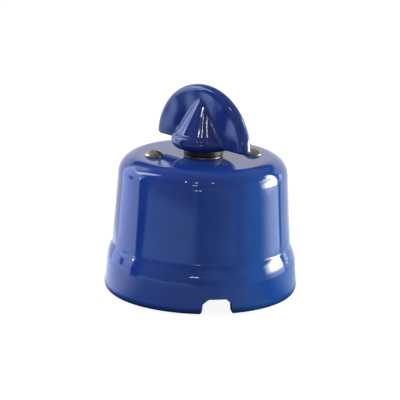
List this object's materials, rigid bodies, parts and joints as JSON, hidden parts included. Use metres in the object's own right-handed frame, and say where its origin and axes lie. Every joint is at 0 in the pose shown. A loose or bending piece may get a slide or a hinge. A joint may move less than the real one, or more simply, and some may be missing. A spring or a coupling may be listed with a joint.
{
  "type": "porcelain rotary light switch",
  "caption": "Surface-mounted light switch: glazed porcelain bell on a porcelain base, turned by a half-disc thumb knob in quarter-turn clicks, with a cable notch in its foot.",
  "frame": {"origin": "on the wall plane, on the spindle's axis, at the middle of the round foot", "axes": "+Z away from the wall along the spindle, -Y towards the cable notch, cover screws on the X axis"},
  "size_m": [0.065, 0.0648, 0.071],
  "materials": {
    "blue_glaze": "gloss glaze",
    "white_porcelain": "satin",
    "brass": "turned",
    "aged_brass": "aged",
    "bronze_leaf": "rolled",
    "steel": "satin",
    "spring_steel": "blued",
    "brown_moulding": "moulded"
  },
  "bodies": {
    "housing": {"porcelain_cover": "blue_glaze", "porcelain_base": "white_porcelain", "cover_screw_left": "aged_brass", "cover_screw_right": "aged_brass", "hole_ferrule": "brass", "lower_bearing": "brass", "upper_bush": "brass", "terminal_screws": "brass", "pillar_left": "brass", "pillar_right": "brass", "upper_pillar_left": "brass", "upper_pillar_right": "brass", "terminal_block_1": "brass", "terminal_block_2": "brass", "terminal_block_3": "brass", "terminal_block_4": "brass", "lower_jaw_1": "bronze_leaf", "lower_jaw_2": "bronze_leaf", "lower_jaw_3": "bronze_leaf", "lower_jaw_4": "bronze_leaf", "upper_jaw_1": "bronze_leaf", "upper_jaw_2": "bronze_leaf", "upper_jaw_3": "bronze_leaf", "upper_jaw_4": "bronze_leaf", "bridge": "steel", "block_screws": "steel", "pillar_screws": "steel", "spring_rivets": "steel", "detent_spring_front": "spring_steel", "detent_spring_rear": "spring_steel"},
    "turning_parts": {"knob": "blue_glaze", "knob_insert": "brass", "thrust_collar": "brown_moulding", "spindle": "steel", "rotor": "brown_moulding", "rotor_cap": "brown_moulding", "rotor_rivets": "brass", "rotor_clip": "spring_steel", "contact_blade": "brass", "star_wheel": "steel"}
  },
  "joints": [
    {"name": "knob_turn", "type": "hinge", "parent": "housing", "child": "turning_parts", "pos_m": [0, 0, 0.0497], "axis": [0, 0, 1], "continuous": true, "deforming": ["detent_spring_front", "detent_spring_rear"]}
  ]
}
